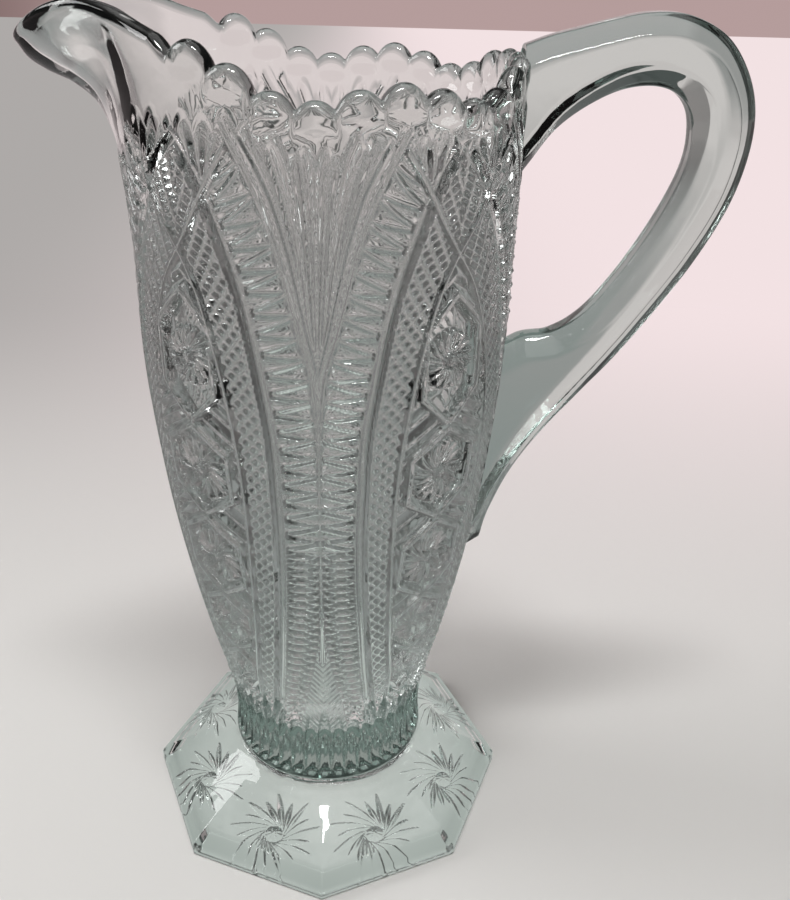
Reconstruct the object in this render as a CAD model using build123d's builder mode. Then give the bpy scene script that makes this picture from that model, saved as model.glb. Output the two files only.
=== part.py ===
from build123d import *
from math import cos, exp, hypot, radians, sin
import os

# Tall pressed-glass pitcher on an octagonal foot. Millimetres, +Z up. The origin is on the
# table plane under the middle of the body. The handle is towards +X, the spout towards -X.

# foot
foot_radius = 58.0  # corner to centre
foot_edge_height = 4.5
foot_bevel_height = 3.5
foot_bevel_width = 4.5
foot_shoulder_radius = 40.0
foot_shoulder_height = 15.5
foot_height = 21.5
recess_margin = 7.585  # width of the flat ring that the foot stands on, at the middle of a side
recess_depth = 5.5
recess_slope = 5.0

# solid fluted collar between foot and body
collar_radius = 30.6
collar_height = 20.0
collar_waist = 0.7
flute_count = 44
flute_radius = 1.9
flute_depth = 1.1
flute_end_gap = 2.2

# body: outer radius at heights above the underside of the body
body_profile = [
    (0.0, collar_radius), (10.5, 33.0), (23.5, 36.3), (35.5, 39.0), (49.0, 41.7), (73.5, 45.7),
    (98.5, 48.4), (123.5, 49.9), (143.5, 49.9),
]
body_floor = 5.0
wall = 4.8
cavity_corner = 7.0

# upper wall with the pouring spout: sections at heights above the underside of the body
neck_blend = 20.0  # height over which the wall's radius goes over to the neck's
neck_sections = [155.5, 166.0, 173.0, 179.5, 183.5, 186.5, 189.5, 194.5, 206.5]
neck_overrun = 6.0  # the cavity's last section stands this much above the outside's
neck_radius = 50.2
spout_reach = [0.4, 1.4, 3.2, 6.6, 11.5, 18.0, 22.6, 24.4, 24.8]
spout_inner_reach = [0.3, 1.0, 2.2, 4.2, 6.6, 9.6, 14.2, 21.2, 22.6]
spout_half_angle = 21.0
spout_fullness = 1.8
section_angles = [0, 6, 12, 18, 25, 33, 42, 55, 75, 100, 125, 150]

# scalloped rim: top of each round tab above the underside of the body, from the handle to the spout
tab_pitch = 11.25
tab_radius = 5.3
tab_tops = [193.5, 193.1, 191.8, 188.1, 186.7, 189.2, 190.8, 189.5, 187.3, 188.9, 193.7, 197.7]
tab_proud = 0.4  # how far a tab stands in from the wall; twice that far out
# edge of the spout seen from the side: distance in front of the axis, height above the underside of the body
lip_edge = [
    (26, 197.1), (34, 197.9), (41, 200.1), (48, 202.7),
    (55, 203.5), (63, 201.9), (70, 198.1), (77, 192.5),
]

# handle seen from the side: outer edge and inner edge of each section, as distance from the body axis
# and height above the underside of the body, from the rim round to the tail
handle_root = 30.0  # where the handle's top starts, deep enough inside the wall to be cut to it
handle_sections = [
    ((44.0, 192.5), (44.0, 157.5)), ((55.3, 197.4), (52.5, 167.3)), ((62.0, 199.3), (58.0, 175.0)),
    ((70.0, 201.4), (64.8, 180.7)), ((79.2, 203.3), (73.2, 185.1)), ((89.0, 202.9), (81.2, 186.5)),
    ((98.6, 198.5), (87.6, 185.1)), ((105.1, 190.6), (91.8, 181.1)), ((108.7, 181.1), (93.4, 175.3)),
    ((109.0, 169.9), (93.2, 168.1)), ((106.1, 156.8), (90.6, 159.5)), ((99.2, 141.7), (85.4, 148.3)),
    ((90.3, 127.2), (78.5, 136.5)), ((80.8, 113.6), (70.9, 126.7)), ((70.7, 100.9), (62.6, 121.1)),
    ((61.6, 89.0), (52.4, 118.7)), ((53.9, 75.9), (41.0, 108.5)), ((48.8, 63.1), (36.0, 82.5)),
    ((46.6, 54.5), (35.0, 55.5)),
]
handle_width = 16.0
handle_bevel = 4.2

body_base = foot_height + collar_height
recess_radius = foot_radius * cos(radians(22.5)) - recess_margin
cut_top = 60.0  # how far the rim's cutters reach up


tabs = [(k * tab_pitch, top) for k, top in enumerate(tab_tops)]
tabs += [(-azimuth, top) for azimuth, top in tabs[1:]]


def octagon(corner_radius):
    return [
        (corner_radius * cos(radians(45 * k)), corner_radius * sin(radians(45 * k)))
        for k in range(8)
    ]


def spout_share(angle):
    """Share of the spout's full reach at an angle from its middle, in degrees."""
    return exp(-((abs(angle) / spout_half_angle) ** spout_fullness))


def section_points(radius, reach):
    """Points round one section of the wall, starting at the spout, towards -X."""
    ring = section_angles + [180] + [-a for a in reversed(section_angles[1:])]
    points = []
    for angle in ring:
        r = radius + reach * spout_share(angle)
        points.append((-r * cos(radians(angle)), -r * sin(radians(angle))))
    return points


# sections of the wall's two sides: height above the collar, radius, reach of the spout
shoulder_radius = body_profile[-1][1]
outer_sections = [(z, r, 0.0) for z, r in body_profile]
inner_sections = [
    (body_floor, body_profile[1][1] - wall - cavity_corner, 0.0),
    (body_floor + 0.2 * cavity_corner, body_profile[1][1] - wall - 0.4 * cavity_corner, 0.0),
    (body_floor + 0.6 * cavity_corner, body_profile[1][1] - wall - 0.08 * cavity_corner, 0.0),
]
inner_sections += [(z, r - wall, 0.0) for z, r in body_profile if z > body_floor + cavity_corner]
for z, reach, inner_reach in zip(neck_sections, spout_reach, spout_inner_reach):
    share = min(1, (z - body_profile[-1][0]) / neck_blend)
    radius = shoulder_radius + (neck_radius - shoulder_radius) * share
    above = neck_overrun if z == neck_sections[-1] else 0
    outer_sections.append((z, radius, reach))
    inner_sections.append((z + above, radius - wall, inner_reach))


# Foot: octagonal plate with a bevelled edge, its top rising in eight faces to the collar.
with BuildPart() as foot:
    with BuildSketch():
        Polygon(*octagon(foot_radius), align=None)
    extrude(amount=foot_edge_height)
    with BuildSketch(Plane.XY.offset(foot_edge_height)):
        Polygon(*octagon(foot_radius), align=None)
    with BuildSketch(Plane.XY.offset(foot_edge_height + foot_bevel_height)):
        Polygon(*octagon(foot_radius - foot_bevel_width), align=None)
    loft(ruled=True)
    with BuildSketch(Plane.XY.offset(foot_edge_height + foot_bevel_height)):
        Polygon(*octagon(foot_radius - foot_bevel_width), align=None)
    with BuildSketch(Plane.XY.offset(foot_shoulder_height)):
        Polygon(*octagon(foot_shoulder_radius), align=None)
    loft(ruled=True)
    with BuildSketch(Plane.XY.offset(foot_shoulder_height)):
        Polygon(*octagon(foot_shoulder_radius), align=None)
    with BuildSketch(Plane.XY.offset(foot_height)):
        Polygon(*octagon(collar_radius / cos(radians(22.5))), align=None)
    loft(ruled=True)
    # shallow recess in the underside, so that the foot stands on its outer ring
    with BuildSketch(Plane.XZ):
        with BuildLine():
            Polyline(
                (0, 0), (recess_radius, 0), (recess_radius - recess_slope, recess_depth * 0.7),
                (recess_radius * 0.55, recess_depth), (0, recess_depth), close=True,
            )
        make_face()
    revolve(axis=Axis.Z, mode=Mode.SUBTRACT)
foot.part.label = "foot"

# Collar: solid round pillar, a little waisted, with upright flutes that end in round tips.
with BuildPart() as base_collar:
    with BuildSketch(Plane.XZ):
        with BuildLine():
            Line((0, foot_height), (collar_radius, foot_height))
            ThreePointArc(
                (collar_radius, foot_height),
                (collar_radius - collar_waist, foot_height + collar_height / 2),
                (collar_radius, body_base),
            )
            Line((collar_radius, body_base), (0, body_base))
            Line((0, body_base), (0, foot_height))
        make_face()
    revolve(axis=Axis.Z)
    flute_axis = collar_radius + flute_radius - flute_depth
    with PolarLocations(flute_axis, flute_count):
        with Locations((0, 0, foot_height + flute_end_gap + flute_radius)):
            Cylinder(
                flute_radius, collar_height - 2 * (flute_end_gap + flute_radius),
                align=(Align.CENTER, Align.CENTER, Align.MIN), mode=Mode.SUBTRACT,
            )
base_collar.part.label = "base_collar"

# Outside of the body as one full solid, lofted up from the collar to above the rim.
with BuildPart() as body_outside:
    for height, radius, reach in outer_sections:
        with BuildSketch(Plane.XY.offset(body_base + height)):
            with BuildLine():
                Spline(*section_points(radius, reach), periodic=True)
            make_face()
    loft(ruled=True)

# Inside of the body: a rounded floor, then the same sections one wall further in.
with BuildPart() as cavity:
    for height, radius, reach in inner_sections:
        with BuildSketch(Plane.XY.offset(body_base + height)):
            with BuildLine():
                Spline(*section_points(radius, reach), periodic=True)
            make_face()
    loft(ruled=True)

# Space above the spout's edge, between the two tabs that stand beside the spout.
tab_span = tab_pitch * (len(tab_tops) - 0.5)
far = 120.0
with BuildPart() as above_spout:
    with BuildSketch(Plane.XY.offset(body_base + neck_sections[1])):
        with BuildLine():
            Polyline(
                (0, 0), (far * cos(radians(tab_span)), far * sin(radians(tab_span))),
                (-far, far), (-far, -far),
                (far * cos(radians(tab_span)), -far * sin(radians(tab_span))), close=True,
            )
        make_face()
    extrude(amount=cut_top)
    with BuildSketch(Plane.XZ):
        with BuildLine():
            edge = Spline(*[(-x, body_base + z) for x, z in lip_edge])
            Polyline(
                edge @ 1, (-far, body_base + lip_edge[-1][1]), (-far, body_base + 3 * far),
                (0, body_base + 3 * far), (0, body_base + lip_edge[0][1]), edge @ 0,
            )
        make_face()
    extrude(amount=far, both=True, mode=Mode.INTERSECT)

# Space above the wall beside and behind the spout: one step for each round tab.
with BuildPart() as above_tabs:
    for azimuth, top in tabs:
        low, high = radians(azimuth - tab_pitch / 2), radians(azimuth + tab_pitch / 2)
        near = neck_radius - 6 * wall
        with BuildSketch(Plane.XY.offset(body_base + top - tab_radius)):
            with BuildLine():
                Polyline(
                    (near * cos(low), near * sin(low)), (far * cos(low), far * sin(low)),
                    (far * cos(high), far * sin(high)), (near * cos(high), near * sin(high)),
                    close=True,
                )
            make_face()
        extrude(amount=cut_top)

# Round tabs: short cylinders that point at the axis and stand a little proud on both sides.
with BuildPart() as rim_tabs:
    for azimuth, top in tabs:
        out = Vector(cos(radians(azimuth)), sin(radians(azimuth)), 0)
        start = out * (neck_radius - wall - tab_proud) + Vector(0, 0, body_base + top - tab_radius)
        with BuildSketch(Plane(origin=start, z_dir=out)):
            Circle(tab_radius)
        extrude(amount=wall + 3 * tab_proud)

# Body: hollow vessel with the wavy rim of round tabs and the smooth spout.
with BuildPart() as body:
    add(body_outside.part)
    add(cavity.part, mode=Mode.SUBTRACT)
    add(above_spout.part, mode=Mode.SUBTRACT)
    add(above_tabs.part, mode=Mode.SUBTRACT)
    add(rim_tabs.part)
body.part.label = "body"

# Handle: loop of even width with eight flat sides, cut to the outside of the body.
half = handle_width / 2
with BuildPart() as handle:
    (_, root_top), (_, root_low) = handle_sections[0]
    root = ((handle_root, root_top), (handle_root, root_low))
    for (ox, oz), (ix, iz) in [root, *handle_sections]:
        depth = hypot(ox - ix, oz - iz)
        ux, uz = (ox - ix) / depth, (oz - iz) / depth
        with BuildSketch(Plane(origin=(ix, 0, body_base + iz), x_dir=(ux, 0, uz), z_dir=(uz, 0, -ux))):
            Polygon(
                (0, half - handle_bevel), (handle_bevel, half), (depth - handle_bevel, half),
                (depth, half - handle_bevel), (depth, handle_bevel - half),
                (depth - handle_bevel, -half), (handle_bevel, -half), (0, handle_bevel - half),
                align=None,
            )
    loft(ruled=True)
    add(body_outside.part, mode=Mode.SUBTRACT)
    add(rim_tabs.part, mode=Mode.SUBTRACT)
handle.part.label = "handle"

os.makedirs("parts", exist_ok=True)
export_step(foot.part, "parts/foot.step")
export_step(base_collar.part, "parts/base_collar.step")
export_step(body.part, "parts/body.step")
export_step(handle.part, "parts/handle.step")
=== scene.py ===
import math

import bpy
import numpy as np
from mathutils import Matrix, Vector


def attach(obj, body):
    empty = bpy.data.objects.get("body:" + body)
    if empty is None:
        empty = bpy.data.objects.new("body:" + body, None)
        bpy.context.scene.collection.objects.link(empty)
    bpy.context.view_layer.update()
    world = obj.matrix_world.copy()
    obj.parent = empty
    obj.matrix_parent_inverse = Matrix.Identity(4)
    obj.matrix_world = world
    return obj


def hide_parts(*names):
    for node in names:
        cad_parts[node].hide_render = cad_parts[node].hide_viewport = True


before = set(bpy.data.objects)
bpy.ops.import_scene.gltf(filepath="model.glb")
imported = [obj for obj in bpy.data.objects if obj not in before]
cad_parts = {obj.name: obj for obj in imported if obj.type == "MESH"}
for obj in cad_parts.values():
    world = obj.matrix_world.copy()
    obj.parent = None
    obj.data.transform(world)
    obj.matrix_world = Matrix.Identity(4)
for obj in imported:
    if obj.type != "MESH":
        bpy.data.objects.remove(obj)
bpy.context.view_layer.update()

# Lengths in the shape functions are millimetres, reliefs too. Meshes are written in metres.
MM = 0.001

# Foot and collar
FOOT_RADIUS = 58.0  # corner to centre
FOOT_EDGE = 0.6  # height at which the foot's upright side begins
COLLAR_FOOT = 21.5
COLLAR_HEIGHT = 20.0
COLLAR_RADIUS = 30.6
COLLAR_WAIST = 0.7
FOOT_PROFILE_R = [FOOT_RADIUS, FOOT_RADIUS, 53.2, 47.0, 40.5, 36.0, 33.2, 31.5, COLLAR_RADIUS]
FOOT_PROFILE_Z = [FOOT_EDGE, 4.6, 8.0, 11.4, 14.8, 17.2, 19.0, 20.4, COLLAR_FOOT]
FLUTES = 44
FLUTE_PITCH = 4.4
FLUTE_HALF_WIDTH = 2.1
FLUTE_START = 25.5
FLUTE_TIP, FLUTE_TIP_STEP = 48.0, 4.0

# Body: heights above the table and radii of the outer wall
BODY_FOOT = COLLAR_FOOT + COLLAR_HEIGHT
NECK_RADIUS = 50.2
NECK_Z = 185.0
WALL_Z = [BODY_FOOT, 52.0, 65.0, 77.0, 90.5, 103.0, 115.0, 128.0, 140.0, 153.0, 165.0, 175.0, NECK_Z,
          197.0, 207.5, 245.0]
WALL_R = [COLLAR_RADIUS, 33.0, 36.3, 39.0, 41.7, 43.9, 45.7, 47.2, 48.4, 49.4, 49.9, 50.0, 49.9,
          50.0, NECK_RADIUS, NECK_RADIUS]
WALL = 4.8
FLOOR_Z = BODY_FOOT + 5.0
FLOOR_CORNER = 9.0
FLOOR_FLAT = 0.72  # flat part of the floor as a share of the cavity's radius

# Scalloped edge: tops of the round tabs, from the handle to the spout
TAB_PITCH = 11.25
TAB_RADIUS = 5.3
TAB_ARC = 6.2
TAB_RING = 51.0  # radius at which the tabs are measured round the edge
TAB_TOPS = [235.0, 234.6, 233.3, 229.6, 228.2, 230.7, 232.3, 231.0, 228.8, 230.4, 235.2, 239.2]
TABS = [(k * TAB_PITCH, top) for k, top in enumerate(TAB_TOPS)]
TABS += [(-centre, top) for centre, top in TABS[1:]]
BETWEEN_TABS = 222.0
EDGE_ROUND = 2.4  # height of the edge above the wall's last row

# Spout: its edge seen from the side, and the share of the climb, height and reach of its underside and
# its channel
SPOUT_REACH = 24.2
SPOUT_HALF_ANGLE = 21.0
SPOUT_FULLNESS = 1.8
LIP_END = 50.6  # degrees from the spout's middle to where its edge meets the nearest tab
LIP_DIP, LIP_DIP_FROM, LIP_DIP_OVER = 2.5, 44.0, 7.0  # dip of the edge before that: mm, from and over degrees
LIP_RISE = 2.4  # height of the channel's edge above the underside's
LIP_X = [20.0, 26.0, 34.0, 41.0, 48.0, 55.0, 63.0, 70.0, 77.0]
LIP_Z = [238.6, 238.6, 239.4, 241.6, 244.2, 245.0, 243.4, 239.6, 234.0]
OUT_S = [0, 0.203, 0.38, 0.502, 0.625, 0.731, 0.853, 0.946, 1.0]
OUT_Z = [NECK_Z, 197, 207.5, 214.5, 221, 225, 228, 231, 233.6]
OUT_REACH = [0, 0.4, 1.4, 3.2, 6.6, 11.5, 18.0, 22.4, SPOUT_REACH]
IN_S = [0, 0.196, 0.368, 0.484, 0.595, 0.672, 0.74, 0.83, 1.0]
IN_Z = [NECK_Z, 197, 207.5, 214.5, 221, 225, 228, 231, 236]
IN_REACH = [0, 0.3, 1.0, 2.2, 4.2, 6.6, 9.6, 14.2, 22.9]

# Handle: outer and inner edge of its sections, distance from the axis and height above the table
HANDLE_OUT = [
    (48.6, 236.5), (55.3, 239.0), (62.0, 240.8), (70.0, 242.9), (79.2, 244.8), (89.0, 244.4), (98.6, 240.0),
    (105.1, 232.1), (108.7, 222.6), (109.0, 211.4), (106.1, 198.3), (99.2, 183.2), (90.3, 168.7),
    (80.8, 155.1), (70.7, 142.4), (61.6, 130.5), (53.9, 117.4), (48.8, 104.6), (46.8, 96.0),
]
HANDLE_IN = [
    (48.6, 203.0), (52.5, 208.8), (58.0, 216.5), (64.8, 222.2), (73.2, 226.6), (81.2, 228.0), (87.6, 226.6),
    (91.8, 222.6), (93.4, 216.8), (93.2, 209.6), (90.6, 201.0), (85.4, 189.8), (78.5, 178.0), (70.9, 168.2),
    (62.6, 162.6), (52.4, 160.2), (41.0, 150.0), (36.0, 124.0), (35.0, 97.0),
]
HANDLE_HALF_WIDTH = 8.0
HANDLE_BEVEL = 5.2
HANDLE_CORNER_POWER = 80

# Fineness of the meshes
COLUMNS = 944  # points round the pitcher, a multiple of the sectors
SECTORS = 8
UNDER_COLUMNS = 720
ROWS_TO_NECK, ROWS_TO_EDGE = 430, 171
LINING_ROWS_TO_NECK, LINING_ROWS_TO_EDGE = 45, 44
FLOOR_ROWS = 14
EDGE_ROWS = 15
COLLAR_ROWS = 60
FOOT_ROWS = 100
UNDER_ROWS = 130
HANDLE_SECTIONS, HANDLE_POINTS = 260, 96
AZIMUTH = np.arange(COLUMNS) * (2 * np.pi / COLUMNS)


def curve(x, xs, ys):
    """Smooth line through a table: cubic pieces whose slopes at the points are the table's gradient."""
    xs, ys = np.asarray(xs, float), np.asarray(ys, float)
    slope = np.gradient(ys, xs)
    x = np.clip(x, xs[0], xs[-1])
    i = np.clip(np.searchsorted(xs, x) - 1, 0, len(xs) - 2)
    h = xs[i + 1] - xs[i]
    t = (x - xs[i]) / h
    a, b = ys[i], ys[i + 1]
    return (
        a * (1 + 2 * t) * (1 - t) ** 2 + slope[i] * h * t * (1 - t) ** 2
        + b * t * t * (3 - 2 * t) + slope[i + 1] * h * t * t * (t - 1)
    )


def ease(t):
    """Share from 0 to 1 with soft ends: three times the square of t less twice its cube."""
    t = np.clip(t, 0, 1)
    return t * t * (3 - 2 * t)


def rib(distance, half_width):
    """Round rib across a line: one at the line, falling as a parabola to zero at the half width."""
    return np.clip(1 - (distance / half_width) ** 2, 0, 1)


def saw(x):
    """Roof shape with period one: one at whole numbers, zero half-way between."""
    return 1 - 2 * np.abs(x - np.round(x))


def signed_degrees(azimuth):
    """Azimuth in degrees from -180 to 180, zero at the handle."""
    return (np.degrees(azimuth) + 180) % 360 - 180


# Outline of the wall


def spout_angle(azimuth):
    """Degrees away from the middle of the spout, which points along -X."""
    return np.abs((np.degrees(azimuth) % 360) - 180)


def spout_share(azimuth):
    """Share of the spout's reach: a bell shape, exp of minus the angle over the half angle to a power."""
    return np.exp(-((spout_angle(azimuth) / SPOUT_HALF_ANGLE) ** SPOUT_FULLNESS))


def rim_height(azimuth):
    """Top of the edge: the highest of the round tabs' arcs, or the spout's edge line near the spout."""
    degrees = signed_degrees(azimuth)
    top = np.full_like(azimuth, BETWEEN_TABS)
    for centre, tab_top in TABS:
        across = np.radians(degrees - centre) * TAB_RING
        arc = tab_top - TAB_ARC + np.sqrt(np.clip(TAB_ARC ** 2 - across ** 2, 0, None))
        top = np.where(np.abs(across) < TAB_ARC, np.maximum(top, arc), top)
    beside = spout_angle(azimuth)
    front = (NECK_RADIUS + SPOUT_REACH * spout_share(azimuth)) * np.cos(np.radians(beside))
    dip = LIP_DIP * ease((beside - LIP_DIP_FROM) / LIP_DIP_OVER)
    return np.where(beside < LIP_END, curve(front, LIP_X, LIP_Z) - dip, top)


def wall_point(azimuth, row, inner):
    """Radius and height of the smooth wall without relief. Rows 0 to 1 climb evenly to the neck, rows 1 to 2
    from there to the edge, and there the radius grows by the spout's share of its reach. The inner wall is
    one wall further in."""
    share = spout_share(azimuth)
    edge = rim_height(azimuth) - EDGE_ROUND + (LIP_RISE * share if inner else 0)
    s = np.clip(row - 1, 0, 1)
    places, heights, reaches = (IN_S, IN_Z, IN_REACH) if inner else (OUT_S, OUT_Z, OUT_REACH)
    climb = curve(s, places, np.asarray(heights) - NECK_Z) / (heights[-1] - NECK_Z)
    climb = climb * ease(share * 3) + s * (1 - ease(share * 3))
    low = FLOOR_Z + FLOOR_CORNER if inner else BODY_FOOT
    z = np.where(row < 1, low + (NECK_Z - low) * row, NECK_Z + (edge - NECK_Z) * climb)
    r = curve(z, WALL_Z, WALL_R) - (WALL if inner else 0)
    return r + share * curve(s, places, reaches), z


# Pressed pattern. Pattern angle 0 is the middle of a panel, 40 the middle of the column between two panels.
# Each line of the pattern is a table of heights and pattern angles.
HALF_PANEL = 40.0
SIDE_SQUEEZE = 0.8  # the panels beside spout and handle are 50 degrees wide on each side
FAN_Z = [40, 160, 166, 180, 190, 200, 210, 216, 222, 240]
FAN_P = [0, 0, 0.6, 4.5, 7.0, 10.0, 14.0, 17.5, 21.5, 30.0]
ARCH_IN_Z = [40, 52, 70, 84, 100, 119, 135, 150, 165, 180, 190, 200, 207, 214, 219, 240]
ARCH_IN_P = [27, 24.4, 19.5, 17.0, 14.7, 13.3, 13.2, 13.6, 16.0, 19.3, 22.5, 27.0, 30.5, 35.0, 40.0, 62.0]
ARCH_OUT_Z = [40, 60, 80, 100, 120, 150, 167, 180, 186, 194.6, 202, 209, 219, 222, 240]
ARCH_OUT_P = [36, 33, 28, 25.2, 23.7, 24.9, 28.0, 32.0, 34.5, 40.0, 45.5, 50.0, 57.5, 60.0, 78.0]
LEAF_Z = [40, 52, 60, 70, 80, 93, 100]
LEAF_P = [14, 10.5, 7.5, 4.4, 2.2, 0.2, 0]
FAN_FOOT_Z = 160
LEAF_TOP_Z = 100
ARCHES_MEET_Z = 194.6
PETAL_Z = 207.5
PETAL_LIMIT_P, PETAL_LIMIT_Z = [0, 20, 30, 40], [240, 222, 207.5, 219]
SMALL_CELLS_Z = 117.0
SMALL_CELL_PITCH, TOOTH_PITCH = 2.9, 5.1
PIT_PITCH = 3.5
HOBNAILS_TO_Z, HOBNAIL_PITCH = 54, 3.4
BEAD_HALF_WIDTH, BEAD_PITCH = 1.9, 3.9
PETAL_ANGLE, PETAL_POINT_Z, PETAL_PITCH = 30.0, 207.0, 0.30  # pitch in radians round the point
PATTERN_TOP, PATTERN_BELOW_EDGE, PATTERN_BELOW_SPOUT = 226.0, 7.5, 13.0
POINT_PITCH, POINT_DEPTH = 6.4, 4.0  # the points in which the pattern ends
FOOTING_HALF_WIDTH = 10.5  # plain strip under the handle
TAIL_FROM, TAIL_TO, ROOT_FROM = 92, 166, 200
PLAIN_GLASS = -0.55  # relief between the regions
# Hexagon frames: height of the middle, half height, half width at the shoulders
FRAMES = [(168.0, 17.5, 9.0), (136.5, 13.8, 10.6), (108.5, 13.6, 10.2), (84.5, 11.0, 8.6), (63.5, 9.5, 6.6)]
FRAME_WIDTH = 2.0
STAR_RAYS = 16
STAR_TWIST = 1.7
STAR_BUTTON = 2.0


def panel_angle(azimuth):
    """Degrees from the nearest front or back panel's middle, and the pattern angle: front and back panels
    reach 40 degrees to each side, and the 50 degrees left beside spout and handle are squeezed to 40."""
    away = np.abs(np.abs(signed_degrees(azimuth)) - 90)
    return away, np.where(away < HALF_PANEL, away, (90 - away) * SIDE_SQUEEZE)


def teeth(across, along, pitch, width):
    """Interlocking wedges: one row widens to the left edge, the other, half a pitch on, to the right edge.
    A zigzag groove parts them, each wedge has a low roof, and a pit lies in front of each wedge's tip."""
    phase = np.abs(along - np.round(along))
    border = 0.5 * (1 - across)
    groove = rib((phase - border) * pitch / np.hypot(1, 0.5 * pitch / width), 0.62)
    left = np.clip(1 - phase / np.maximum(border, 0.03), 0, 1) * np.sqrt(2 * border)
    right = np.clip(1 - (0.5 - phase) / np.maximum(0.5 - border, 0.03), 0, 1)
    right = right * np.sqrt(np.clip(1 - 2 * border, 0, 1))
    left_pit = rib(np.hypot((across - 0.07) * width, (0.5 - phase) * pitch), 0.95)
    right_pit = rib(np.hypot((across - 0.93) * width, phase * pitch), 0.95)
    return -0.3 + 0.8 * np.maximum(left, right) - 1.0 * groove - 0.8 * np.maximum(left_pit, right_pit)


def zipper_band(x, z, near, far, degree):
    """Band of wedges between two lines, square to the band's own slant. Lower down it is two rows of small
    cells, half a pitch apart."""
    middle_slope = np.gradient(np.asarray(FAN_P) + np.interp(FAN_Z, ARCH_IN_Z, ARCH_IN_P), FAN_Z) * 0.5
    across = np.clip((x - near) / np.maximum(far - near, 0.1), 0, 1)
    small = z < SMALL_CELLS_Z
    pitch = np.where(small, SMALL_CELL_PITCH, TOOTH_PITCH)
    along = (z + np.interp(z, FAN_Z, middle_slope) * degree * (x - 0.5 * (near + far))) / pitch
    room = np.maximum(far - near, 1.0)
    twice = 2 * across
    cells = teeth(twice % 1, along + 0.5 * np.floor(twice), pitch, 0.5 * room)
    return np.where(small, cells, teeth(across, along, pitch, room))


def hobnails(x, y, pitch):
    """Small four-sided pyramids on a slanted grid: the lower of two crossed roof shapes."""
    return np.minimum(saw((x + y) / pitch), saw((x - y) / pitch))


def pitted_band(x, z):
    """Flat band with a slanted grid of pits."""
    return 0.1 - 1.4 * np.clip((hobnails(x, z, PIT_PITCH) - 0.25) / 0.75, 0, 1)


def fan_rays(p, fan, fan_x):
    """Five round rays across the fan, fading towards its point."""
    ray = 2.5 * p / np.maximum(fan, 0.2)
    return -0.9 + 1.5 * rib(ray - np.round(ray), 0.5) * np.clip(fan_x / 3.0, 0, 1)


def petals(x, z):
    """Roof-shaped petals that spread upwards from a point, highest 8 mm from it."""
    bearing = np.arctan2(x, np.maximum(z, 0.01))
    return -0.7 + 1.2 * saw(bearing / PETAL_PITCH) * rib(np.hypot(x, z) - 8.0, 9.0)


def whirl(x, z, reach):
    """Whirling star: curved roof-shaped rays round a domed button, fading at the reach."""
    rho = np.hypot(x, z)
    angle = np.arctan2(z, x) / (2 * np.pi)
    rays = saw(angle * STAR_RAYS + STAR_TWIST * np.sqrt(rho / reach))
    ring = ease((rho - STAR_BUTTON) / 0.8) * ease((reach - rho) / 1.2 + 0.2)
    button = np.sqrt(np.clip(1 - (rho / STAR_BUTTON) ** 2, 0, 1))
    petal_edge = 0.2 * np.cos(angle * 2 * np.pi * 8) * rib(rho - 1.1, 0.9)
    return rays * ring + 0.9 * button + petal_edge


def star_column(x, side, z):
    """Column of stars in hexagon frames. A frame's slanted sides fall by about half its half height to the
    shoulders, and its rib has a flat top. Outside the frames are slanted facets, at the foot hobnails."""
    beside = np.abs(x)
    height = -1.1 + 1.5 * saw((z + 0.6 * beside) / 5.0)
    for centre, half, shoulder in FRAMES:
        slant = half - (half * 0.52) * beside / shoulder
        inside = np.minimum((shoulder - beside), (slant - np.abs(z - centre)) * 0.88)
        star = -1.9 + 2.3 * whirl(x * side, z - centre, min(shoulder - 1.2, half - 3.4))
        frame_rib = np.clip(3.4 * (1 - np.abs(inside - 0.3) / FRAME_WIDTH), 0, 2.2) - 1.1
        height = np.where(inside > -1.3, np.where(inside > FRAME_WIDTH, star, frame_rib), height)
    return np.where(z < HOBNAILS_TO_Z, -0.7 + 1.1 * hobnails(x, z, HOBNAIL_PITCH), height)


def flutes(azimuth, z):
    """Relief of the row of hollow flutes: they start round above the foot and end in leaf tips on the body,
    every other one higher up."""
    phase = azimuth * FLUTES / (2 * np.pi)
    across = (phase - np.round(phase)) * FLUTE_PITCH
    tip = FLUTE_TIP + FLUTE_TIP_STEP * (np.round(phase) % 2)
    half_width = FLUTE_HALF_WIDTH * np.sqrt(np.clip((tip - z) / 12.0, 0, 1))
    lower = np.minimum(z - FLUTE_START, 0)
    hollow = np.sqrt(np.clip(1 - np.hypot(across / np.maximum(half_width, 0.05), lower / 2.0) ** 2, 0, 1))
    return (0.45 - 1.7 * hollow) * ease((54.0 - z) / 8.0) * ease((z - COLLAR_FOOT) / 0.8)


def pattern_share(azimuth, p, z):
    """One where the pattern is: it ends in points under the tabs, and lower down beside the spout."""
    end = np.minimum(rim_height(azimuth) - PATTERN_BELOW_EDGE, PATTERN_TOP)
    end = end - PATTERN_BELOW_SPOUT * ease(spout_share(azimuth) * 2.5)
    half_pitch = POINT_PITCH / 2
    end = end - POINT_DEPTH * (1 - rib(p % POINT_PITCH - half_pitch, half_pitch))
    return ease((end - z) / 3.0)


def handle_footing(azimuth, r, z):
    """One under the handle's two roots, where the wall is plain."""
    beside = np.abs(r * np.sin(azimuth))
    strip = ease((FOOTING_HALF_WIDTH - beside) / 2.5) * (np.cos(azimuth) > 0)
    return strip * (ease((z - TAIL_FROM) / 4) * ease((TAIL_TO - z) / 4) + ease((z - ROOT_FROM) / 4))


def tab_relief(azimuth, z):
    """Low round domes on the tabs, and under each a shallow scoop."""
    degrees = signed_degrees(azimuth)
    height = np.zeros_like(z)
    for centre, top in TABS:
        across, up = np.radians(degrees - centre) * TAB_RING, z - (top - TAB_RADIUS)
        dome = rib(across, 5.2) * ease((up + 3.0) / 4.0)
        scoop = rib(np.hypot(across / 4.4, (up + 8.5) / 6.5), 1.0)
        height += 0.6 * dome - 0.12 * scoop
    return height


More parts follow.
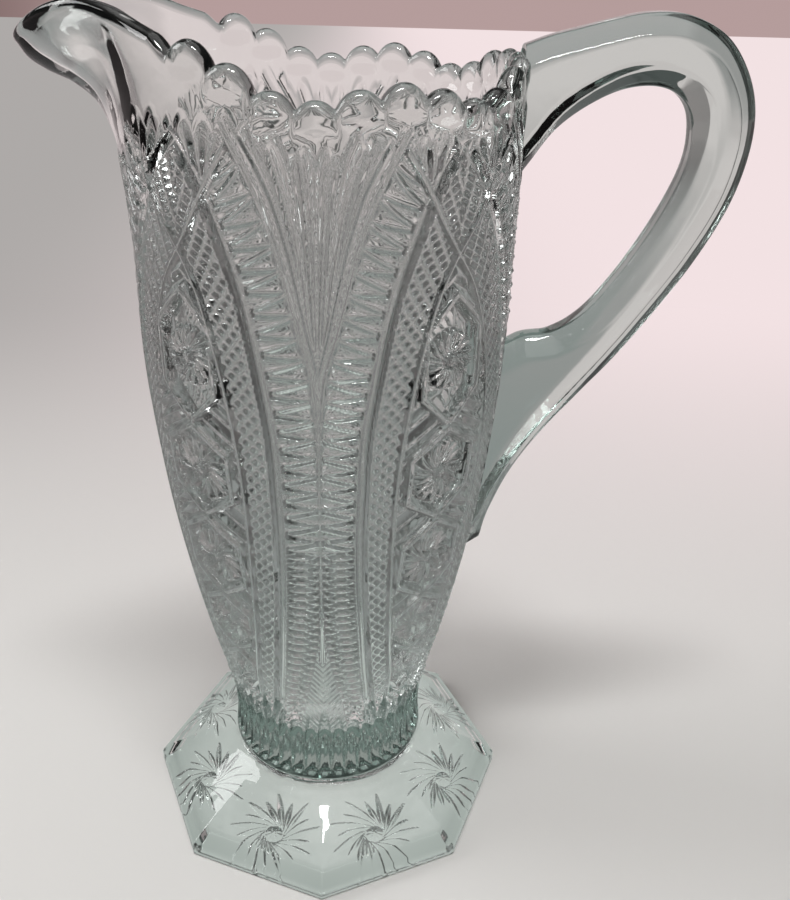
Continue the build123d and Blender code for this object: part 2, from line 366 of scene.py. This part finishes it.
def pattern(azimuth, r, z):
    """Relief of the outer wall, outwards: the regions of a panel first, then the plain lines over them."""
    away, p = panel_angle(azimuth)
    degree = r * np.pi / 180
    squeeze = np.where(away < HALF_PANEL, 1.0, 1 / SIDE_SQUEEZE)
    fan = curve(z, FAN_Z, FAN_P)
    arch_out = curve(z, ARCH_OUT_Z, ARCH_OUT_P)
    arch_in, leaf = curve(z, ARCH_IN_Z, ARCH_IN_P), curve(z, LEAF_Z, LEAF_P)
    lines = (p, fan, arch_in, arch_out, 2 * HALF_PANEL - arch_out, leaf)
    x, fan_x, in_x, out_x, mirror_x, leaf_x = (line * degree * squeeze for line in lines)

    near = np.maximum(fan_x, leaf_x)
    regions = [
        ((x > near) & (x < in_x), zipper_band(x, z, near, in_x, degree)),
        ((x < fan_x) & (z > FAN_FOOT_Z), fan_rays(p, fan, fan_x)),
        ((x < leaf_x) & (z < LEAF_TOP_Z), -0.5 + 0.7 * saw((z - 1.4 * x) / 2.4)),
    ]
    crossing = (x > mirror_x) & (x < in_x) & (z > ARCHES_MEET_Z) & (z < 219)
    in_arch = ((x > in_x) & (x < out_x) | crossing) & ~((x < mirror_x) & (z > PETAL_Z))
    regions.append((in_arch, pitted_band(x - 0.5 * (in_x + out_x), z)))
    above = (z > PETAL_Z) & (x > mirror_x) & (z > np.interp(p, PETAL_LIMIT_P, PETAL_LIMIT_Z))
    regions.append((above, petals((p - PETAL_ANGLE) * degree * squeeze, z - PETAL_POINT_Z)))
    side = -np.sign(np.sin(2 * azimuth) + 1e-9)
    regions.append(((x > out_x) & (z < ARCHES_MEET_Z), star_column((away - HALF_PANEL) * degree, side, z)))

    def steepness(heights, angles):
        return np.hypot(1, np.interp(z, heights, np.gradient(angles, heights)) * degree)

    # deep flute inside the arch, ribs along its outer line and that line's mirror image
    flute = (x - in_x) / steepness(ARCH_IN_Z, ARCH_IN_P)
    regions.append((np.abs(flute) < 2.0, 0.4 - 2.3 * rib(flute, 1.6)))
    for line, low in ((out_x, 0), (mirror_x, ARCHES_MEET_Z)):
        distance = (x - line) / steepness(ARCH_OUT_Z, ARCH_OUT_P)
        regions.append(((np.abs(distance) < 1.2) & (z > low), -0.75 + 1.4 * rib(distance, 1.2)))
    # flat band with grooved edges along the fan
    half_band = 1.0 + 0.9 * np.clip(fan_x / 12, 0, 1)
    distance = np.abs(x - fan_x) / steepness(FAN_Z, FAN_P)
    fan_band = 0.9 - 0.8 * rib(distance, half_band) - 1.6 * rib(distance - half_band - 0.1, 0.6)
    regions.append(((distance < half_band + 0.6) & (z > 74), fan_band))
    # beads down the middle of the panels beside spout and handle
    bead_row = (away > HALF_PANEL) & (np.abs(x) < BEAD_HALF_WIDTH) & (z > 50) & (z < 204)
    regions.append((bead_row, -0.4 + 1.7 * rib(x, BEAD_HALF_WIDTH) * np.sqrt(saw(z / BEAD_PITCH))))

    height = np.full_like(z, PLAIN_GLASS)
    for where, relief in regions:
        height = np.where(where, relief, height)
    plain = 1 - handle_footing(azimuth, r, z)
    height = (height * pattern_share(azimuth, p, z) + tab_relief(azimuth, z)) * plain
    return height * ease((z - BODY_FOOT) / 9.0) + flutes(azimuth, z)


# Surfaces of the pitcher, each a grid of points: rows upwards or outwards, columns round


def round_points(r, azimuth, z):
    return np.stack([r * np.cos(azimuth), r * np.sin(azimuth), z], -1)


def outer_wall():
    """Outer wall with its relief as one grid: height rows by azimuth columns."""
    rows = np.concatenate([np.linspace(0, 1, ROWS_TO_NECK)[:-1], np.linspace(1, 2, ROWS_TO_EDGE)])
    row, azimuth = np.meshgrid(rows, AZIMUTH, indexing="ij")
    r, z = wall_point(azimuth, row, False)
    return round_points(r + pattern(azimuth, r, z), azimuth, z)


def cavity_wall():
    """Smooth inside as one grid: a flat floor, a quarter ellipse as its corner, and the wall to the edge."""
    to_neck = np.linspace(0, 1, LINING_ROWS_TO_NECK)[:-1]
    rows = np.concatenate([to_neck, np.linspace(1, 2, LINING_ROWS_TO_EDGE)])
    row, azimuth = np.meshgrid(rows, AZIMUTH, indexing="ij")
    r, z = wall_point(azimuth, row, True)
    wall = round_points(r, azimuth, z)
    turn, azimuth = np.meshgrid(np.linspace(0.02, 1, FLOOR_ROWS)[:-1], AZIMUTH, indexing="ij")
    low = wall[0, 0, 0]
    flat = 0.6  # share of the rows that the flat part has
    bend = np.clip((turn - flat) / (1 - flat), 0, 1) * np.pi / 2
    corner = low * (FLOOR_FLAT + (1 - FLOOR_FLAT) * np.sin(bend))
    radius = np.where(turn < flat, low * (turn / flat * FLOOR_FLAT), corner)
    floor = round_points(radius, azimuth, FLOOR_Z + FLOOR_CORNER * (1 - np.cos(bend)))
    return np.concatenate([floor, wall])


def rim_cap(outer, inner):
    """Rounded edge from the outer wall's last row over to the inner wall's last row: half an ellipse that
    stands on the line between them, along the wall's own direction there, leaning upwards."""
    a, b = outer[-1], inner[-1]
    direction = (outer[-1] - outer[-6]) + (inner[-1] - inner[-3])
    direction += np.array([0, 0, 0.5])
    direction /= np.linalg.norm(direction, axis=1, keepdims=True)
    middle, half = (a + b) / 2, (a - b) / 2
    size = np.linalg.norm(half, axis=1, keepdims=True)
    turn = np.linspace(0, np.pi, EDGE_ROWS)[:, None, None]
    return middle + half * np.cos(turn) + direction * size * np.sin(turn)


def octagon(azimuth):
    """Distance to an octagon's side for a corner distance of one, with a corner at azimuth 0."""
    inside = (azimuth % (np.pi / 4)) - np.pi / 8
    return np.cos(np.pi / 8) / np.cos(inside)


def collar_wall():
    """Fluted pillar: radius less a sine-shaped waist, plus the flutes' relief."""
    row, azimuth = np.meshgrid(np.linspace(0, 1, COLLAR_ROWS), AZIMUTH, indexing="ij")
    z = COLLAR_FOOT + COLLAR_HEIGHT * row
    r = COLLAR_RADIUS - COLLAR_WAIST * np.sin(np.pi * row)
    return round_points(r + flutes(azimuth, z), azimuth, z)


def foot_top():
    """Top of the foot: an octagon at the rim that eases to a circle at the collar, over a profile whose
    corners are rounded by a running mean of five points."""
    s = np.linspace(0, 1, FOOT_ROWS)
    steps = np.hypot(np.diff(FOOT_PROFILE_R), np.diff(FOOT_PROFILE_Z))
    length = np.concatenate([[0], np.cumsum(steps)])
    length /= length[-1]
    r, z = np.interp(s, length, FOOT_PROFILE_R), np.interp(s, length, FOOT_PROFILE_Z)
    kernel = np.ones(5) / 5
    r[2:-2], z[2:-2] = np.convolve(r, kernel, "valid"), np.convolve(z, kernel, "valid")
    r, azimuth = np.meshgrid(r, AZIMUTH, indexing="ij")
    z = np.repeat(z[:, None], COLUMNS, 1)
    cornered = ease((r - 33.0) / 19.0)
    return round_points(r * (1 + (octagon(azimuth) - 1) * cornered), azimuth, z)


PINWHEELS = 8
PINWHEEL_PLACE = 40.0
PINWHEEL_RAYS = 18
RAY_REACH, SHORT_RAY = 15.0, 3.0  # every other ray is shorter by the second size
BUTTON_RADIUS = 3.0


def pinwheel(x, y, middle):
    """Pinwheel about the origin: a domed button with straight leaf-shaped rays, long and short by turns, each
    on a line that touches the button's circle."""
    rho, angle = np.hypot(x, y), np.arctan2(y, x) - middle
    slant = np.arccos(np.clip(BUTTON_RADIUS / np.maximum(rho, 0.1), 0, 1))
    swirl = (angle - slant) * PINWHEEL_RAYS / (2 * np.pi)
    ray_id = np.round(swirl)
    reach = RAY_REACH - SHORT_RAY * (ray_id % 2)
    along = np.clip((rho - BUTTON_RADIUS) / (reach - BUTTON_RADIUS), 0, 1)
    leaf = np.clip(np.sin(np.pi * along ** 0.75), 0, 1)
    away = np.abs(swirl - ray_id) * 2 * np.pi * rho / PINWHEEL_RAYS
    ray = np.clip(1 - away / (0.15 + 0.85 * leaf), 0, 1) * leaf
    button = 0.9 * rib(rho, BUTTON_RADIUS) * (0.6 + 0.4 * np.abs(np.cos(4 * angle)))
    return np.where(rho < reach + 1, 1.5 * ray + button, 0)


def foot_underside():
    """Underside: outer ring on the table, a shallow recess, and eight pinwheels pressed upwards into it."""
    azimuth_line = np.arange(UNDER_COLUMNS) * (2 * np.pi / UNDER_COLUMNS)
    share, azimuth = np.meshgrid(np.linspace(0.01, 1, UNDER_ROWS), azimuth_line, indexing="ij")
    side = 1 + (octagon(azimuth) - 1) * ease((share - 0.5) / 0.4)
    r = FOOT_RADIUS * share * side
    from_edge = (1 - share) * FOOT_RADIUS
    z = 3.6 * ease((from_edge - 3.0) / 5.0) + 2.4 * ease((from_edge - 8) / 40)
    z = z + FOOT_EDGE * ease(1 - from_edge / 1.2)
    x, y = r * np.cos(azimuth), r * np.sin(azimuth)
    cut = np.zeros_like(z)
    for k in range(PINWHEELS):
        middle = np.radians(22.5 + 45 * k)
        place = PINWHEEL_PLACE * np.cos(middle), PINWHEEL_PLACE * np.sin(middle)
        cut = np.maximum(cut, pinwheel(x - place[0], y - place[1], middle))
    return round_points(r, azimuth, z + cut * ease((from_edge - 1.5) / 2.0))


def handle_loop():
    """Handle: an eight-sided section carried along two smooth lines, its outer and inner edges. The section's
    radius blends the eight sides' lines by a high power, so its corners are a little soft. Points that would
    pass through the wall are held just under the wall's skin, and the tail grows a little wider."""
    stations = np.linspace(0, 1, HANDLE_SECTIONS)
    table = np.linspace(0, 1, len(HANDLE_OUT))
    lines = (*zip(*HANDLE_OUT), *zip(*HANDLE_IN))
    ox, oz, ix, iz = (curve(stations, table, line)[:, None] for line in lines)
    depth = np.hypot(ox - ix, oz - iz)
    half = depth / 2
    diagonal = (half + HANDLE_HALF_WIDTH - HANDLE_BEVEL) / math.sqrt(2)
    turn = np.linspace(0, 2 * np.pi, HANDLE_POINTS + 1)[:-1]
    c, s = np.cos(turn), np.sin(turn)
    inverse = 0
    for k in range(8):
        toward = c * math.cos(k * math.pi / 4) + s * math.sin(k * math.pi / 4)
        reach = (half, diagonal, HANDLE_HALF_WIDTH, diagonal)[k % 4]
        inverse = inverse + np.clip(toward[None, :] / reach, 0, None) ** HANDLE_CORNER_POWER
    radius = inverse ** (-1 / HANDLE_CORNER_POWER)
    x = (ox + ix) / 2 + (ox - ix) / depth * radius * c
    z = (oz + iz) / 2 + (oz - iz) / depth * radius * c
    y = radius * s * (1 + 0.12 * ease((130 - z) / 40))
    rho = np.hypot(x, y)
    skin = curve(z, WALL_Z, WALL_R) - 0.9
    grow = np.where(rho < skin, skin / np.maximum(rho, 1), 1)
    return np.stack([x * grow, y * grow, z], -1)


# Meshes


def surface_normals(points):
    """Normals of a closed ring of columns: the cross product of the steps along the two parameters."""
    along = np.roll(points, -1, 1) - np.roll(points, 1, 1)
    n = np.cross(along, np.gradient(points, axis=0))
    return n / np.maximum(np.linalg.norm(n, axis=-1, keepdims=True), 1e-12)


def grid_piece(name, points, normals, ring, caps):
    """Mesh from a grid of points in millimetres, with faces outwards. A ring joins its last column to its
    first. caps may close it with a middle point before the first row, facing down, or after the last, facing
    up."""
    rows, cols = points.shape[:2]
    index = np.arange(rows * cols).reshape(rows, cols)
    right = np.roll(index, -1, 1) if ring else index[:, 1:]
    left = index if ring else index[:, :-1]
    quads = np.stack([left[:-1], right[:-1], right[1:], left[1:]], -1).reshape(-1, 4)
    corners, sizes = [quads.ravel()], [np.full(len(quads), 4)]
    verts, directions = [points.reshape(-1, 3)], [normals.reshape(-1, 3)]
    total = rows * cols
    for row, cap, up in ((0, caps[0], -1.0), (-1, caps[1], 1.0)):
        if cap is None:
            continue
        a, b = (right[row], left[row]) if up < 0 else (left[row], right[row])
        corners.append(np.stack([a, b, np.full_like(a, total)], -1).ravel())
        sizes.append(np.full(len(a), 3))
        verts.append([cap])
        directions.append([[0, 0, up]])
        total += 1
    sizes = np.concatenate(sizes)
    starts = np.concatenate([[0], np.cumsum(sizes)[:-1]])
    mesh = bpy.data.meshes.new(name)
    mesh.vertices.add(total)
    mesh.vertices.foreach_set("co", (np.concatenate(verts) * MM).ravel())
    mesh.loops.add(sizes.sum())
    mesh.loops.foreach_set("vertex_index", np.concatenate(corners).astype(np.int32))
    mesh.polygons.add(len(sizes))
    mesh.polygons.foreach_set("loop_start", starts.astype(np.int32))
    mesh.polygons.foreach_set("use_smooth", np.ones(len(sizes), bool))
    mesh.update(calc_edges=True)
    mesh.validate()
    mesh.normals_split_custom_set_from_vertices(np.concatenate(directions))
    piece = bpy.data.objects.new(name, mesh)
    bpy.context.scene.collection.objects.link(piece)
    return piece


def add_glass(name, node, glass, points, normals=None, ring=True, caps=(None, None)):
    normals = surface_normals(points) if normals is None else normals
    piece = grid_piece(name, points, normals, ring, caps)
    piece.data.materials.append(glass)
    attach(piece, "root")
    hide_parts(node)


# Finishes


def shader(name):
    material = bpy.data.materials.new(name)
    material.use_nodes = True
    nodes, links = material.node_tree.nodes, material.node_tree.links
    return material, nodes, links, nodes["Principled BSDF"]


def pressed_glass(name, colour, ripple, waves=160.0, depth_tint=None):
    """Clear soda glass with a faint grey-green tint, fire-polished skin and faint mould ripple. A piece whose
    own surface is closed may also have a tint that deepens with the glass's thickness."""
    material, nodes, links, base = shader(name)
    base.inputs["Base Color"].default_value = (*colour, 1)
    base.inputs["Roughness"].default_value = 0.03
    base.inputs["IOR"].default_value = 1.5
    base.inputs["Transmission Weight"].default_value = 1.0
    place = nodes.new("ShaderNodeTexCoord")
    noise = nodes.new("ShaderNodeTexNoise")
    noise.inputs["Scale"].default_value = waves
    noise.inputs["Detail"].default_value = 2.0
    bump = nodes.new("ShaderNodeBump")
    bump.inputs["Strength"].default_value = ripple
    bump.inputs["Distance"].default_value = 0.0006
    links.new(place.outputs["Object"], noise.inputs["Vector"])
    links.new(noise.outputs["Fac"], bump.inputs["Height"])
    links.new(bump.outputs["Normal"], base.inputs["Normal"])
    if depth_tint:
        tint = nodes.new("ShaderNodeVolumeAbsorption")
        tint.inputs["Color"].default_value = (*depth_tint, 1)
        tint.inputs["Density"].default_value = 38.0
        links.new(tint.outputs["Volume"], nodes["Material Output"].inputs["Volume"])
    return material


WALL_GLASS = pressed_glass("wall_glass", (0.89, 0.925, 0.91), 0.12)
LINING_GLASS = pressed_glass("lining_glass", (0.92, 0.94, 0.93), 0.06)
FOOT_GLASS = pressed_glass("foot_glass", (0.86, 0.91, 0.885), 0.55, 75.0)
# the collar's dark green is painted shade on the stem under the body, over the thick glass's own green
COLLAR_GLASS_AND_PAINTED_SHADE = pressed_glass("collar_glass_and_painted_shade", (0.12, 0.19, 0.165), 0.08)
HANDLE_GLASS = pressed_glass("handle_glass", (0.93, 0.95, 0.94), 0.20, 110.0, (0.62, 0.76, 0.72))


# The pitcher. Wall, edge, lining, collar and the foot's top share their border points, and wall and collar
# also share the normals there. The foot's underside has fewer columns and meets the top along its eight
# straight edges.


def pitcher():
    outer, inner, collar = outer_wall(), cavity_wall(), collar_wall()
    outer_normals, collar_normals = surface_normals(outer), surface_normals(collar)
    joint = outer_normals[0] + collar_normals[-1]
    joint /= np.linalg.norm(joint, axis=1, keepdims=True)
    outer_normals[0] = collar_normals[-1] = joint
    step = COLUMNS // SECTORS
    for k in range(SECTORS):
        columns = np.arange(k * step, (k + 1) * step + 1) % COLUMNS
        sector, normals = outer[:, columns], outer_normals[:, columns]
        add_glass(f"pressed_wall_{k + 1}", "body", WALL_GLASS, sector, normals, ring=False)
    add_glass("scalloped_edge", "body", WALL_GLASS, rim_cap(outer, inner))
    add_glass("cavity_lining", "body", LINING_GLASS, inner[::-1], caps=(None, (0, 0, FLOOR_Z)))
    add_glass("fluted_collar", "base_collar", COLLAR_GLASS_AND_PAINTED_SHADE, collar, collar_normals)
    add_glass("foot_top", "foot", FOOT_GLASS, foot_top())
    under = foot_underside()
    add_glass("foot_underside", "foot", FOOT_GLASS, under, caps=(under[0].mean(0), None))
    loop = handle_loop()
    add_glass("loop_handle", "handle", HANDLE_GLASS, loop[:, ::-1], caps=(loop[0].mean(0), loop[-1].mean(0)))


pitcher()

# Table, light and camera


def maths(nodes, links, operation, *inputs):
    """Result of one operation on numbers and sockets."""
    node = nodes.new("ShaderNodeMath")
    node.operation = operation
    for socket, value in zip(node.inputs, inputs):
        if isinstance(value, float):
            socket.default_value = value
        else:
            links.new(value, socket)
    return node.outputs[0]


def smooth_share(nodes, links, value, low, high, start=0.0, end=1.0):
    """Number that goes smoothly from start to end as the value goes from low to high."""
    node = nodes.new("ShaderNodeMapRange")
    node.interpolation_type = "SMOOTHSTEP"
    for socket, number in (("From Min", low), ("From Max", high), ("To Min", start), ("To Max", end)):
        node.inputs[socket].default_value = number
    links.new(value, node.inputs["Value"])
    return node.outputs[0]


def ramp(nodes, links, value, stops):
    """Colour that goes over smoothly from stop to stop as the value grows."""
    node = nodes.new("ShaderNodeValToRGB")
    node.color_ramp.interpolation = "EASE"
    while len(node.color_ramp.elements) < len(stops):
        node.color_ramp.elements.new(1.0)
    for element, (place, colour) in zip(node.color_ramp.elements, stops):
        element.position = place
        element.color = (*colour, 1)
    links.new(value, node.inputs["Fac"])
    return node.outputs["Color"]


def mixed(nodes, links, share, first, second):
    node = nodes.new("ShaderNodeMixShader")
    for socket, value in zip(node.inputs, (share, first, second)):
        links.new(value, socket)
    return node.outputs[0]


def glass_rays(nodes, links):
    """One for rays that came through or off the glass, zero for the camera's own and for the light's."""
    path = nodes.new("ShaderNodeLightPath")
    return maths(nodes, links, "MAXIMUM", path.outputs["Is Transmission Ray"], path.outputs["Is Glossy Ray"])


def paper(name, colour, depth, span, far, through):
    """Matt paper with painted light. Towards the back it glows evenly, as under a wide ceiling light, from a
    darker left colour to a brighter right one, a painted glow: depth is where along Y the glow comes in, span
    where along X the colours change over. In the glass it is a painted glow whose colour follows half the
    distance from the pitcher in metres, and a dark stretch of that ramp paints the pitcher's shadow.
    There its glow fades towards the front, and beside the middle past a line that slants outwards to the
    back: painted shade."""
    material, nodes, links, base = shader(name)
    base.inputs["Base Color"].default_value = (*colour, 1)
    base.inputs["Roughness"].default_value = 0.9
    base.inputs["Specular IOR Level"].default_value = 0.1
    place, split = nodes.new("ShaderNodeTexCoord"), nodes.new("ShaderNodeSeparateXYZ")
    links.new(place.outputs["Object"], split.inputs[0])
    x, y = split.outputs["X"], split.outputs["Y"]

    # painted light: the back of the sheet glows, darker at the left and brighter at the right
    even = nodes.new("ShaderNodeEmission")
    across = smooth_share(nodes, links, x, *span)
    links.new(ramp(nodes, links, across, [(0, far[0]), (1, far[1])]), even.inputs["Color"])
    seen = mixed(nodes, links, smooth_share(nodes, links, y, *depth), base.outputs[0], even.outputs[0])

    distance = nodes.new("ShaderNodeVectorMath")
    distance.operation = "LENGTH"
    links.new(place.outputs["Object"], distance.inputs[0])
    halved = maths(nodes, links, "MULTIPLY", distance.outputs["Value"], 0.5)
    # painted shade: in the glass the glow halves towards the front, and drops to 0.42 beside the middle past
    # the slanted line
    front = smooth_share(nodes, links, y, -0.24, -0.065, start=0.5)
    beyond = maths(nodes, links, "MULTIPLY_ADD", y, -0.55, maths(nodes, links, "ABSOLUTE", x))
    side = smooth_share(nodes, links, beyond, 0.12, 0.4, 1.0, 0.42)
    glow = nodes.new("ShaderNodeEmission")
    links.new(ramp(nodes, links, halved, through), glow.inputs["Color"])
    links.new(maths(nodes, links, "MULTIPLY", front, side), glow.inputs["Strength"])
    both = mixed(nodes, links, glass_rays(nodes, links), seen, glow.outputs[0])
    links.new(both, nodes["Material Output"].inputs["Surface"])
    return material


def sheet(name, corners, material):
    mesh = bpy.data.meshes.new(name)
    mesh.from_pydata([Vector(c) for c in corners], [], [(0, 1, 2, 3)])
    mesh.materials.append(material)
    piece = bpy.data.objects.new(name, mesh)
    bpy.context.scene.collection.objects.link(piece)


# Sizes of the stage in metres, and its painted glow in the glass by half the distance: the table's glow dips
# to a painted shadow round the pitcher and grows brighter further off
TABLE_SIDE, TABLE_FRONT, TABLE_END, WALL_TOP = 4, -3, 3.3, 1.5
TABLE_GLOW_AND_PAINTED_SHADOW = [
    (0.0, (0.60, 0.61, 0.59)), (0.016, (0.58, 0.60, 0.58)), (0.029, (0.42, 0.45, 0.43)),
    (0.042, (0.30, 0.32, 0.31)), (0.11, (0.34, 0.345, 0.34)), (0.25, (0.42, 0.39, 0.39)),
    (0.6, (0.66, 0.58, 0.58)), (1.0, (0.80, 0.70, 0.70)),
]
WALL_THROUGH = [(place, (0.76, 0.66, 0.66)) for place in (0, 1)]
PITCHER_MIDDLE = Vector((0, 0, 0.1))


def table_and_wall():
    # painted light: both sheets glow from a dark left to a bright right, and in the glass the table's glow
    # carries a painted shadow round the pitcher
    table_paper = paper("table_paper", (0.70, 0.69, 0.67), (-0.02, 0.5), (-0.45, 0.35),
                        ((0.42, 0.40, 0.39), (0.89, 0.76, 0.77)), TABLE_GLOW_AND_PAINTED_SHADOW)
    wall_paper = paper("wall_paper", (0.5, 0.37, 0.36), (3.0, 3.2), (-1.6, -0.4),
                       ((0.21, 0.14, 0.135), (0.46, 0.335, 0.33)), WALL_THROUGH)
    front = [(-TABLE_SIDE, TABLE_FRONT, 0), (TABLE_SIDE, TABLE_FRONT, 0)]
    back = [(TABLE_SIDE, TABLE_END, 0), (-TABLE_SIDE, TABLE_END, 0)]
    top = [(TABLE_SIDE, TABLE_END, WALL_TOP), (-TABLE_SIDE, TABLE_END, WALL_TOP)]
    sheet("table", front + back, table_paper)
    sheet("back_wall", back[::-1] + top, wall_paper)


def area_light(name, place, size, power):
    """Rectangle of light that faces the pitcher's middle."""
    data = bpy.data.lights.new(name, "AREA")
    data.shape = "RECTANGLE"
    data.size, data.size_y = size
    data.energy = power
    lamp = bpy.data.objects.new(name, data)
    lamp.location = place
    lamp.rotation_euler = (PITCHER_MIDDLE - Vector(place)).to_track_quat("-Z", "Y").to_euler()
    bpy.context.scene.collection.objects.link(lamp)


def room():
    """World light: even and soft on the table, and a dim room with a brighter ceiling in the glass."""
    world = bpy.data.worlds.new("room")
    bpy.context.scene.world = world
    world.use_nodes = True
    nodes, links = world.node_tree.nodes, world.node_tree.links
    soft, dim = nodes["Background"], nodes.new("ShaderNodeBackground")
    soft.inputs["Color"].default_value = (0.36, 0.35, 0.345, 1)
    place, split = nodes.new("ShaderNodeTexCoord"), nodes.new("ShaderNodeSeparateXYZ")
    links.new(place.outputs["Generated"], split.inputs[0])
    stops = [(0, (0.10, 0.105, 0.10)), (0.45, (0.08, 0.085, 0.083)), (0.78, (0.18, 0.18, 0.175)),
             (0.9, (1.5, 1.5, 1.47))]
    links.new(ramp(nodes, links, split.outputs["Z"], stops), dim.inputs["Color"])
    both = mixed(nodes, links, glass_rays(nodes, links), soft.outputs[0], dim.outputs[0])
    links.new(both, nodes["World Output"].inputs["Surface"])


EYE = (10.748, -261.965, 258.731)  # millimetres
PITCH, YAW, ROLL = 27.2583, 2.06952, 1.69649  # degrees
SENSOR = 36.0
FOCAL_SHARE = 989.86 / 900.0  # focal length as a share of the picture's height


def camera():
    """Camera of the photograph: it looks down by the pitch, turned by the yaw, rolled about its own axis."""
    pitch, yaw, roll = (math.radians(v) for v in (PITCH, YAW, ROLL))
    ahead = Vector((math.sin(yaw) * math.cos(pitch), math.cos(yaw) * math.cos(pitch), -math.sin(pitch)))
    right = Vector((math.cos(yaw), -math.sin(yaw), 0))
    up = right.cross(ahead)
    level = math.cos(roll) * right + math.sin(roll) * up
    high = math.cos(roll) * up - math.sin(roll) * right
    data = bpy.data.cameras.new("camera")
    data.sensor_width, data.lens = SENSOR, SENSOR * FOCAL_SHARE
    data.clip_start, data.clip_end = 0.01, 20
    eye = bpy.data.objects.new("camera", data)
    turn = Matrix((level, high, -ahead)).transposed().to_4x4()
    eye.matrix_world = Matrix.Translation(Vector(EYE) * MM) @ turn
    bpy.context.scene.collection.objects.link(eye)
    bpy.context.scene.camera = eye


table_and_wall()
area_light("ceiling_panel", (0.0, -0.38, 1.6), (0.6, 0.16), 13)
area_light("window_left", (-1.5, 0.25, 1.1), (0.8, 0.8), 11)
room()
camera()
bpy.context.scene.view_settings.view_transform = "Standard"
